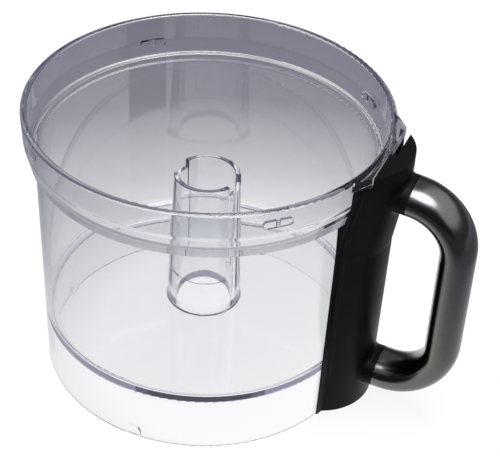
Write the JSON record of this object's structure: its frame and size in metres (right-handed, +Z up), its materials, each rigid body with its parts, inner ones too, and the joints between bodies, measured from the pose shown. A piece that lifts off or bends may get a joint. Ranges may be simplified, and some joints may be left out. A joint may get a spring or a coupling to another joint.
{
  "type": "food processor work bowl",
  "caption": "Clear work bowl for a food processor: collar with lid lugs, drive chimney, skirt, side handle column with metallic grip and a sprung lid interlock rod.",
  "frame": {"origin": "on the bowl's axis, in the plane that the bowl's skirt stands on", "axes": "+Z up along the bowl's axis, +X from the axis out through the handle"},
  "size_m": [0.2795, 0.2198, 0.1818],
  "materials": {
    "clear_plastic": "polished clear polycarbonate, faintly blue",
    "black_plastic": "satin moulded black",
    "gunmetal": "satin gunmetal coating",
    "rod_plastic": "moulded black acetal",
    "spring_steel": "drawn spring wire",
    "screw_steel": "zinc plated",
    "brass": "turned"
  },
  "bodies": {
    "bowl_unit": {"bowl": "clear_plastic", "handle_backplate": "black_plastic", "handle_housing": "black_plastic", "handle_top_plate": "black_plastic", "handle_foot": "black_plastic", "grip_outer_shell": "gunmetal", "grip_inner_shell": "gunmetal", "rod_spring": "spring_steel", "bowl_screws": "screw_steel", "bowl_screw_washers": "screw_steel", "housing_screws": "screw_steel", "grip_bolts": "screw_steel", "grip_bolt_washers": "screw_steel", "grip_inserts": "brass", "grip_shell_screws": "screw_steel"},
    "rod_unit": {"interlock_rod": "rod_plastic", "rod_clip": "spring_steel"}
  },
  "joints": [
    {"name": "rod_press", "type": "slide", "parent": "bowl_unit", "child": "rod_unit", "axis": [0, 0, -1], "range_m": [0, 0.006], "stiffness_N_per_m": 400, "springref_m": -0.004, "deforming": ["rod_spring"]}
  ]
}
